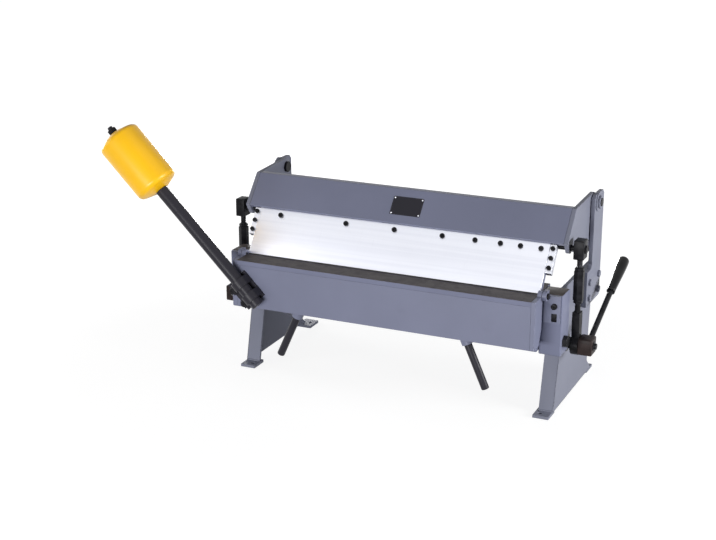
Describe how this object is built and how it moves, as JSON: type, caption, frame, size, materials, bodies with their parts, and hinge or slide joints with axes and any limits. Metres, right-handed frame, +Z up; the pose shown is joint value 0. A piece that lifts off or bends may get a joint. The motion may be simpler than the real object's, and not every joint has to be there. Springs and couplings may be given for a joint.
{
  "type": "sheet metal brake",
  "caption": "Bench-top hand brake that clamps sheet metal under a slanted nose bar with lever-worked eccentrics and bends it with a counterweighted hinged leaf.",
  "frame": {"origin": "middle of the footprint, on the bench under the feet", "axes": "+X along the bend line to the machine's right, +Y to its back, +Z up"},
  "size_m": [1.4768, 0.659, 0.7601],
  "materials": {
    "frame_grey": "smooth blue-grey machine enamel, semi-gloss, slightly worn",
    "plate_grey": "lighter blue-grey machine enamel on the side plates",
    "ground_steel": "surface-ground steel with fine lines along its length",
    "black_steel": "black oxide, satin",
    "scaled_steel": "dark brown mill scale, oiled",
    "black_paint": "dark grey-black enamel, semi-gloss",
    "yellow_paint": "yellow-orange enamel, smooth",
    "black_plastic": "glossy black moulded grip"
  },
  "bodies": {
    "frame": {"bed": "frame_grey", "end_block_left": "frame_grey", "stand_left": "plate_grey", "upright_left": "plate_grey", "hinge_pin_left": "black_steel", "hinge_nut_left": "plate_grey", "hinge_bracket_left": "frame_grey", "leaf_pivot_pin_left": "black_steel", "shaft_bearing_left": "frame_grey", "end_block_right": "frame_grey", "stand_right": "plate_grey", "upright_right": "plate_grey", "hinge_pin_right": "black_steel", "hinge_nut_right": "plate_grey", "hinge_bracket_right": "frame_grey", "leaf_pivot_pin_right": "black_steel", "shaft_bearing_right": "frame_grey"},
    "clamping_beam": {"nose_bar": "ground_steel", "nose_holder": "frame_grey", "beam_box": "frame_grey", "beam_end_plate_left": "plate_grey", "trunnion_left": "black_steel", "nose_end_block_left": "ground_steel", "beam_end_plate_right": "plate_grey", "trunnion_right": "black_steel", "nose_end_block_right": "ground_steel"},
    "bending_leaf_assembly": {"bending_leaf": "frame_grey", "leaf_edge_bar": "scaled_steel", "arm_bracket": "black_paint", "arm_clamp_inner": "black_paint", "arm_clamp_outer": "black_paint", "counterweight_arm": "black_paint", "counterweight": "yellow_paint", "counterweight_nut": "black_steel", "leaf_end_plate_left": "frame_grey", "bending_handle_left": "black_paint", "leaf_end_plate_right": "frame_grey", "bending_handle_right": "black_paint"},
    "tie_rod_assembly_left": {"yoke_left": "black_steel", "tie_rod_left": "black_steel", "turnbuckle_left": "black_steel", "jam_nut_upper_left": "black_steel", "jam_nut_lower_left": "black_steel", "eye_rod_left": "black_steel"},
    "lever_assembly_left": {"eccentric_shaft_left": "black_steel", "lever_hub_left": "scaled_steel", "clamp_lever_left": "black_steel", "lever_grip_left": "black_plastic", "hub_bolt_left": "black_steel"},
    "tie_rod_assembly_right": {"yoke_right": "black_steel", "tie_rod_right": "black_steel", "turnbuckle_right": "black_steel", "jam_nut_upper_right": "black_steel", "jam_nut_lower_right": "black_steel", "eye_rod_right": "black_steel"},
    "lever_assembly_right": {"eccentric_shaft_right": "black_steel", "lever_hub_right": "scaled_steel", "clamp_lever_right": "black_steel", "lever_grip_right": "black_plastic", "hub_bolt_right": "black_steel"}
  },
  "joints": [
    {"name": "beam_hinge", "type": "hinge", "parent": "frame", "child": "clamping_beam", "pos_m": [0.14071, 0.17036, 0.565], "axis": [1, 0, 0], "range_deg": [-2, 0]},
    {"name": "tie_rod_swing_left", "type": "hinge", "parent": "clamping_beam", "child": "tie_rod_assembly_left", "pos_m": [-0.39529, -0.04564, 0.48358], "axis": [1, 0, 0], "range_deg": [0, 2.54]},
    {"name": "lever_turn_left", "type": "hinge", "parent": "frame", "child": "lever_assembly_left", "pos_m": [-0.39529, -0.04932, 0.20268], "axis": [1, 0, 0], "range_deg": [0, 90]},
    {"name": "tie_rod_swing_right", "type": "hinge", "parent": "clamping_beam", "child": "tie_rod_assembly_right", "pos_m": [0.67671, -0.04564, 0.48358], "axis": [1, 0, 0], "range_deg": [0, 2.54]},
    {"name": "lever_turn_right", "type": "hinge", "parent": "frame", "child": "lever_assembly_right", "pos_m": [0.67671, -0.04932, 0.20268], "axis": [1, 0, 0], "range_deg": [0, 90]},
    {"name": "leaf_hinge", "type": "hinge", "parent": "frame", "child": "bending_leaf_assembly", "pos_m": [0.14071, -0.16964, 0.375], "axis": [-1, 0, 0], "range_deg": [0, 100]}
  ],
  "couplings": [
    {"joint": "tie_rod_swing_left", "follows": "beam_hinge", "ratio": -1.266},
    {"joint": "lever_turn_left", "follows": "beam_hinge", "ratio": -44.99},
    {"joint": "tie_rod_swing_right", "follows": "beam_hinge", "ratio": -1.266},
    {"joint": "lever_turn_right", "follows": "beam_hinge", "ratio": -44.99}
  ]
}
